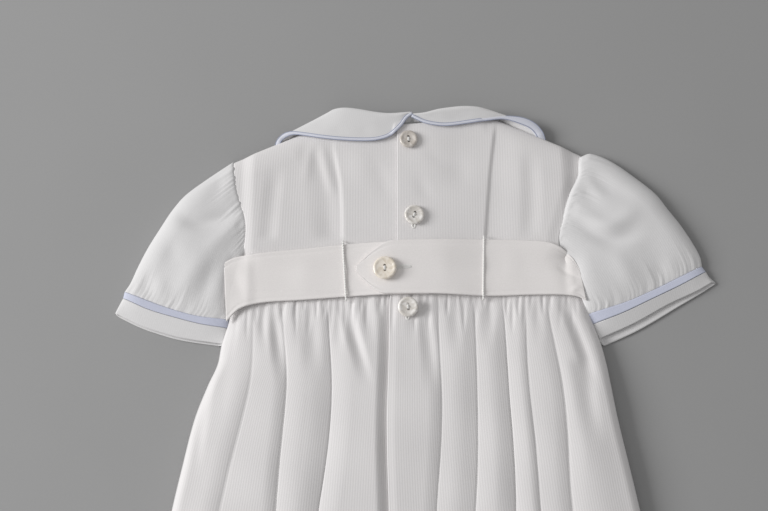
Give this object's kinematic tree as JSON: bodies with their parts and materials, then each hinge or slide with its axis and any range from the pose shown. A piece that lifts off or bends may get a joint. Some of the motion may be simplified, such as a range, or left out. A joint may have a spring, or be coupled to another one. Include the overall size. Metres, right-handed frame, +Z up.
{
  "type": "baby romper",
  "caption": "Laid flat, back up: short puffed sleeves, round collar with piped edge, buttoned back, belt with thread loops, gathered body with short legs.",
  "frame": {"origin": "on the underside of the front body, on the table under the middle of the waist seam", "axes": "+Y from the legs to the collar, +X to the right as it lies with its back up, +Z up from the table"},
  "size_m": [0.3546, 0.449, 0.0153],
  "materials": {
    "ribbed_cotton": "white pique with fine ribs down its length, matt",
    "plain_cotton": "white fine plain weave, soft sheen",
    "belt_cotton": "smooth creamy white cotton, pressed flat",
    "blue_cotton": "pale blue plain cotton, matt",
    "thread": "white twisted thread",
    "pearl": "cream pearl, soft gloss",
    "amber_pearl": "amber cream pearl, soft gloss"
  },
  "bodies": {
    "root": {"bodice_back_left": "ribbed_cotton", "bodice_back_right": "ribbed_cotton", "bodice_front": "ribbed_cotton", "body_back_left": "ribbed_cotton", "body_back_right": "ribbed_cotton", "body_front": "ribbed_cotton", "collar_left": "plain_cotton", "collar_right": "plain_cotton", "sleeve_left": "plain_cotton", "sleeve_right": "plain_cotton", "sleeve_band_left": "plain_cotton", "sleeve_band_right": "plain_cotton", "belt_left": "belt_cotton", "belt_right": "belt_cotton", "collar_piping_left": "blue_cotton", "collar_piping_right": "blue_cotton", "sleeve_piping_left": "blue_cotton", "sleeve_piping_right": "blue_cotton", "belt_loop_left": "thread", "belt_loop_right": "thread", "button_neck": "pearl", "button_yoke": "pearl", "button_waist": "pearl", "button_belt": "amber_pearl"}
  },
  "joints": []
}
